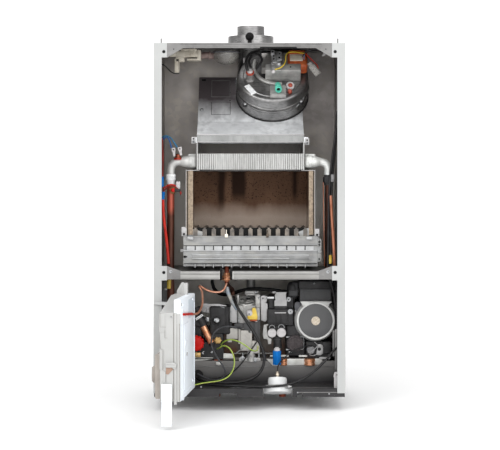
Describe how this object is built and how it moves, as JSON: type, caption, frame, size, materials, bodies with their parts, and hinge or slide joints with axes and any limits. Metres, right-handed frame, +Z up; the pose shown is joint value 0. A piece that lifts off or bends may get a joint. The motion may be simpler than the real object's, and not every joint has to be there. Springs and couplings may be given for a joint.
{
  "type": "combi boiler",
  "caption": "Wall-hung combi boiler with its cover off: fan and flue hood over a finned exchanger and burner, pump and valves below, control box swung open on a side hinge.",
  "frame": {"origin": "middle of the back panel's wall face, at half the height of the side panels", "axes": "+X to the right seen from the front, +Y towards the wall, +Z up"},
  "size_m": [0.4002, 0.5246, 0.808],
  "materials": {
    "white_panel": "powder coat, smooth satin",
    "galvanised": "galvanised sheet",
    "tray_paint": "dark grey coat",
    "cast_aluminium": "die cast, satin",
    "fin_metal": "thin fins, bright",
    "vessel_paint": "gloss coat",
    "impeller_steel": "pressed steel",
    "motor_iron": "lamination stack and copper winding",
    "sensor_plastic": "moulded",
    "switch_plastic": "moulded, part clear",
    "fibre_board": "ceramic fibre board",
    "burner_steel": "stainless blades",
    "ceramic": "glazed ceramic",
    "brass": "turned brass",
    "copper": "drawn copper",
    "plate_steel": "brazed stainless plates",
    "black_plastic": "glass-filled moulding",
    "iron": "painted casting",
    "red_plastic": "moulded",
    "blue_plastic": "moulded",
    "vent_brass": "plated screw",
    "coil_plastic": "moulded",
    "white_plastic": "moulded",
    "fascia_plastic": "moulded, fine grain",
    "button_plastic": "moulded",
    "board_green": "printed board",
    "black_cable": "cable sheath",
    "grey_cable": "cable sheath",
    "earth_cable": "green and yellow sheath"
  },
  "bodies": {
    "root": {"left_side_panel": "white_panel", "right_side_panel": "white_panel", "back_panel": "galvanised", "top_panel": "galvanised", "cross_rail": "galvanised", "sealed_chamber": "galvanised", "hydraulic_bracket": "galvanised", "flue_hood": "galvanised", "chamber_frame": "galvanised", "burner_front": "galvanised", "bottom_tray": "tray_paint", "flue_outlet": "cast_aluminium", "fan_housing": "cast_aluminium", "fan_cover": "cast_aluminium", "fan_motor_frame": "cast_aluminium", "gas_valve_body": "cast_aluminium", "pump_motor": "cast_aluminium", "heat_exchanger_fins": "fin_metal", "heat_exchanger_tubes": "fin_metal", "expansion_vessel": "vessel_paint", "fan_motor": "motor_iron", "pressure_nozzles": "sensor_plastic", "pressure_switch": "switch_plastic", "insulation_boards": "fibre_board", "burner_blades": "burner_steel", "electrodes": "ceramic", "pipe_sensors": "brass", "flow_manifold": "brass", "flow_pipe": "copper", "return_pipe": "copper", "gas_pipe": "copper", "pipe_tails": "copper", "capillary": "copper", "plate_heat_exchanger": "plate_steel", "diverter_motor": "black_plastic", "return_manifold": "black_plastic", "pump_volute": "iron", "gas_valve_coil": "coil_plastic", "pressure_gauge": "white_plastic", "harness_cable": "black_cable", "box_lead": "black_cable", "valve_lead": "grey_cable", "gauge_pipe": "grey_cable", "earth_wires": "earth_cable"},
    "control_box": {"control_box_shell": "white_plastic", "control_box_cover": "white_plastic", "box_fascia": "fascia_plastic", "circuit_board": "board_green", "capillary_sleeve": "red_plastic"},
    "heating_dial": {"heating_knob": "fascia_plastic"},
    "water_dial": {"water_knob": "fascia_plastic"},
    "reset_key": {"reset_button": "button_plastic"},
    "flap": {"bay_flap": "white_plastic"},
    "fan_rotor": {"fan_impeller": "impeller_steel"},
    "pump_shaft": {"pump_rotor": "impeller_steel"},
    "vent_screw": {"pump_vent_screw": "vent_brass"},
    "safety_knob": {"safety_valve_knob": "red_plastic"},
    "fill_tap": {"filling_tap": "blue_plastic"},
    "filter_lid": {"filter_cap": "black_plastic"},
    "needle": {"gauge_pointer": "button_plastic"}
  },
  "joints": [
    {"name": "control_box_swing", "type": "hinge", "parent": "root", "child": "control_box", "pos_m": [-0.15, -0.325, -0.255], "axis": [0, 0, 1], "range_deg": [0, 96]},
    {"name": "bay_flap_hinge", "type": "hinge", "parent": "control_box", "child": "flap", "pos_m": [-0.15947, -0.52033, -0.316], "axis": [-0.9945, 0.1045, 0], "range_deg": [0, 170]},
    {"name": "heating_dial_turn", "type": "hinge", "parent": "control_box", "child": "heating_dial", "pos_m": [-0.16538, -0.37567, -0.3025], "axis": [-0.9945, 0.1045, 0], "range_deg": [0, 270]},
    {"name": "water_dial_turn", "type": "hinge", "parent": "control_box", "child": "water_dial", "pos_m": [-0.17437, -0.4612, -0.3025], "axis": [-0.9945, 0.1045, 0], "range_deg": [0, 270]},
    {"name": "reset_press", "type": "slide", "parent": "control_box", "child": "reset_key", "axis": [0.9945, -0.1045, 0], "range_m": [0, 0.002], "stiffness_N_per_m": 300},
    {"name": "fan_spin", "type": "hinge", "parent": "root", "child": "fan_rotor", "pos_m": [0.05, -0.18711, 0.30465], "axis": [0, -0.7431, 0.6691], "continuous": true},
    {"name": "pump_spin", "type": "hinge", "parent": "root", "child": "pump_shaft", "pos_m": [0.1415, -0.18, -0.222], "axis": [0, 1, 0], "continuous": true},
    {"name": "vent_screw_turn", "type": "hinge", "parent": "root", "child": "vent_screw", "pos_m": [0.1415, -0.222, -0.222], "axis": [0, -1, 0], "range_deg": [0, 360]},
    {"name": "safety_knob_turn", "type": "hinge", "parent": "root", "child": "safety_knob", "pos_m": [-0.1135, -0.22, -0.2702], "axis": [0, -1, 0], "range_deg": [0, 90]},
    {"name": "filling_tap_turn", "type": "hinge", "parent": "root", "child": "fill_tap", "pos_m": [0.05873, -0.224, -0.29], "axis": [0, 0, -1], "range_deg": [0, 360]},
    {"name": "filter_cap_turn", "type": "hinge", "parent": "root", "child": "filter_lid", "pos_m": [0.0977, -0.215, -0.271], "axis": [0, -1, 0], "range_deg": [0, 90]},
    {"name": "needle_turn", "type": "hinge", "parent": "root", "child": "needle", "pos_m": [0.059, -0.261, -0.363], "axis": [0, -0.2588, -0.9659], "range_deg": [-120, 150]}
  ]
}
